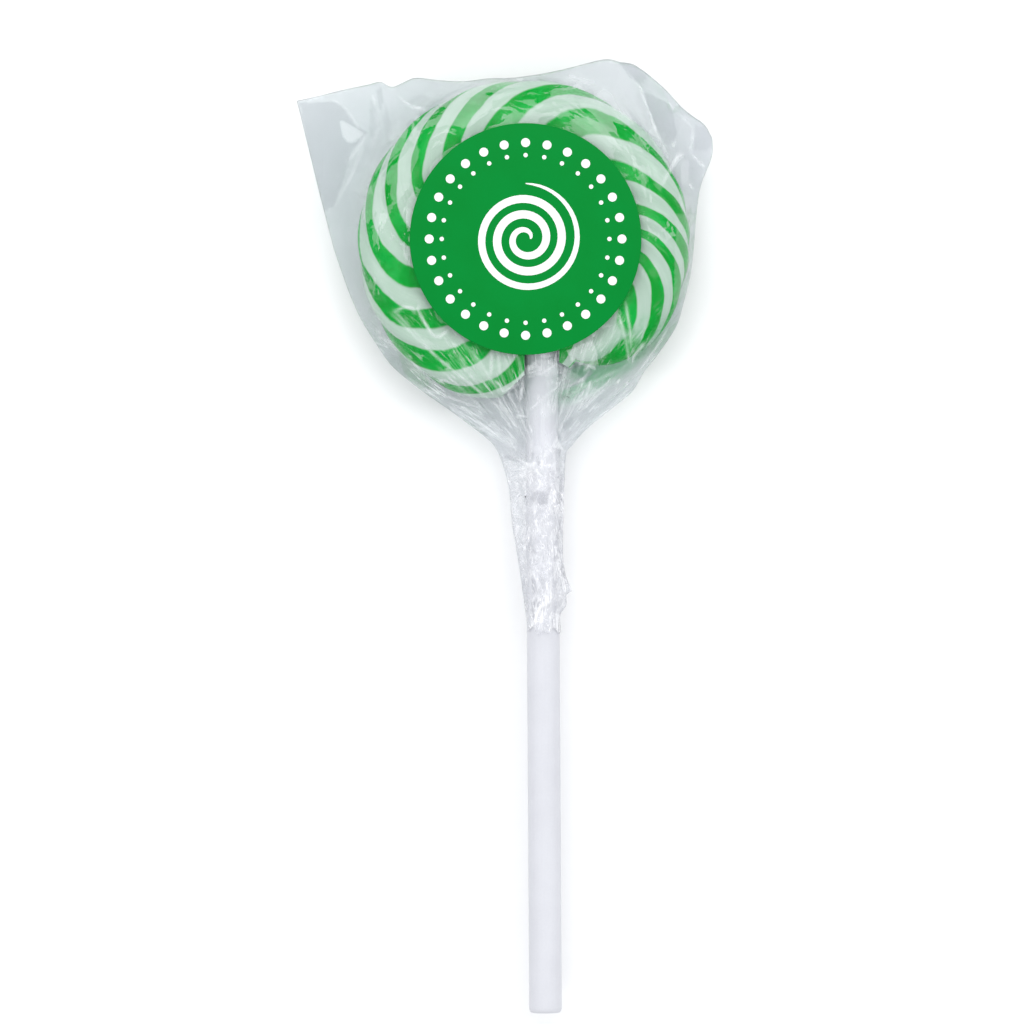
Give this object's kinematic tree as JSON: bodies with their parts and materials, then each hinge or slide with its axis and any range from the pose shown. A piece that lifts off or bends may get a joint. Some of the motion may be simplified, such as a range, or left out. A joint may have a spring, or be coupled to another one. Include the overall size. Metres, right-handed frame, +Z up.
{
  "type": "swirl lollipop",
  "caption": "Flat coil of twisted green and white rope candy on a round paper stick, sealed in clear film gathered round the stick, with a round green sticker on the front.",
  "frame": {"origin": "on the table straight under the centre of the candy, in the middle of the flat spot that the wrapped candy rests on", "axes": "+Z up, out of the label's face; +Y in the candy's plane towards its top, so the stick runs along -Y; +X to the right as seen with the label facing the viewer and the stick down"},
  "size_m": [0.0572, 0.1313, 0.0125],
  "materials": {
    "boiled_sugar": "glossy hard sugar, green and white strands twisted together",
    "stick_paper": "smooth rolled white paper, satin",
    "clear_film": "thin clear crinkled film, glossy",
    "label_face": null
  },
  "bodies": {
    "root": {"candy": "boiled_sugar", "stick": "stick_paper", "wrapper": "clear_film", "label": "label_face"}
  },
  "joints": []
}
